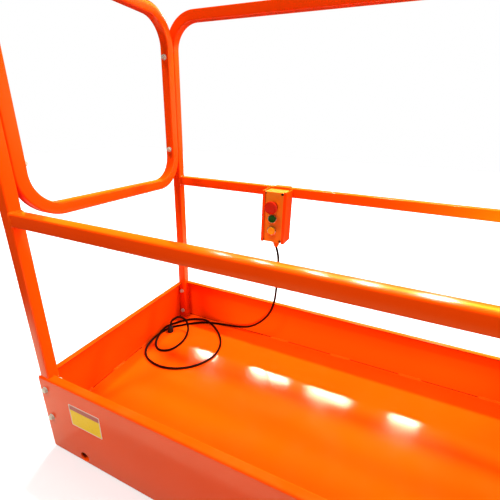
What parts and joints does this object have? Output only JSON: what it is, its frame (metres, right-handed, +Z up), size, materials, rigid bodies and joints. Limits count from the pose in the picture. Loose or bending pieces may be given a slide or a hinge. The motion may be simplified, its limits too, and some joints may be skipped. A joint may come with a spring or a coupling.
{
  "type": "scissor lift work platform",
  "caption": "Guarded work platform of a mini scissor lift: deck tray with toe boards, tube rails, end guard, inward-opening gate, pendant control with cord and scissor-arm mounts.",
  "frame": {"origin": "bottom centre of the platform frame, in the plane of the toe boards' feet", "axes": "+X along the platform to the gate end, +Y to the side with the control station, +Z up"},
  "size_m": [1.24, 0.64, 1.19],
  "materials": {
    "orange_paint": "gloss",
    "zinc_steel": "zinc plated",
    "orange_plastic": "satin",
    "red_plastic": "gloss",
    "green_plastic": "gloss",
    "yellow_plastic": "gloss",
    "black_plastic": "satin",
    "black_rubber": "satin"
  },
  "bodies": {
    "root": {"deck": "orange_paint", "toe_board_near": "orange_paint", "toe_board_far": "orange_paint", "toe_board_left": "orange_paint", "toe_board_right": "orange_paint", "cross_member_left": "orange_paint", "cross_member_middle": "orange_paint", "cross_member_right": "orange_paint", "roller_track_near": "orange_paint", "roller_track_far": "orange_paint", "pivot_lug_near": "orange_paint", "pivot_lug_far": "orange_paint", "post_near_left": "orange_paint", "post_far_left": "orange_paint", "post_near_right": "orange_paint", "post_far_right": "orange_paint", "mid_rail_near": "orange_paint", "mid_rail_far": "orange_paint", "top_rail_near": "orange_paint", "top_rail_far": "orange_paint", "end_guard": "orange_paint", "hinge_fixed_lower": "zinc_steel", "hinge_fixed_upper": "zinc_steel", "gate_stop": "orange_paint", "control_holder": "orange_paint", "control_box": "orange_plastic", "control_cover": "orange_plastic", "button_bezels": "zinc_steel", "stop_button": "red_plastic", "up_button": "green_plastic", "down_button": "yellow_plastic", "control_gland": "orange_plastic", "deck_gland": "black_plastic", "cord": "black_rubber"},
    "gate": {"gate_frame": "orange_paint", "hinge_moving_lower": "zinc_steel", "hinge_moving_upper": "zinc_steel"}
  },
  "joints": [
    {"name": "gate_swing", "type": "hinge", "parent": "root", "child": "gate", "pos_m": [0.5795, -0.281, 0.9225], "axis": [0, 0, 1], "range_deg": [0, 90], "stiffness_Nm_per_rad": 2, "springref_deg": -20.05}
  ]
}
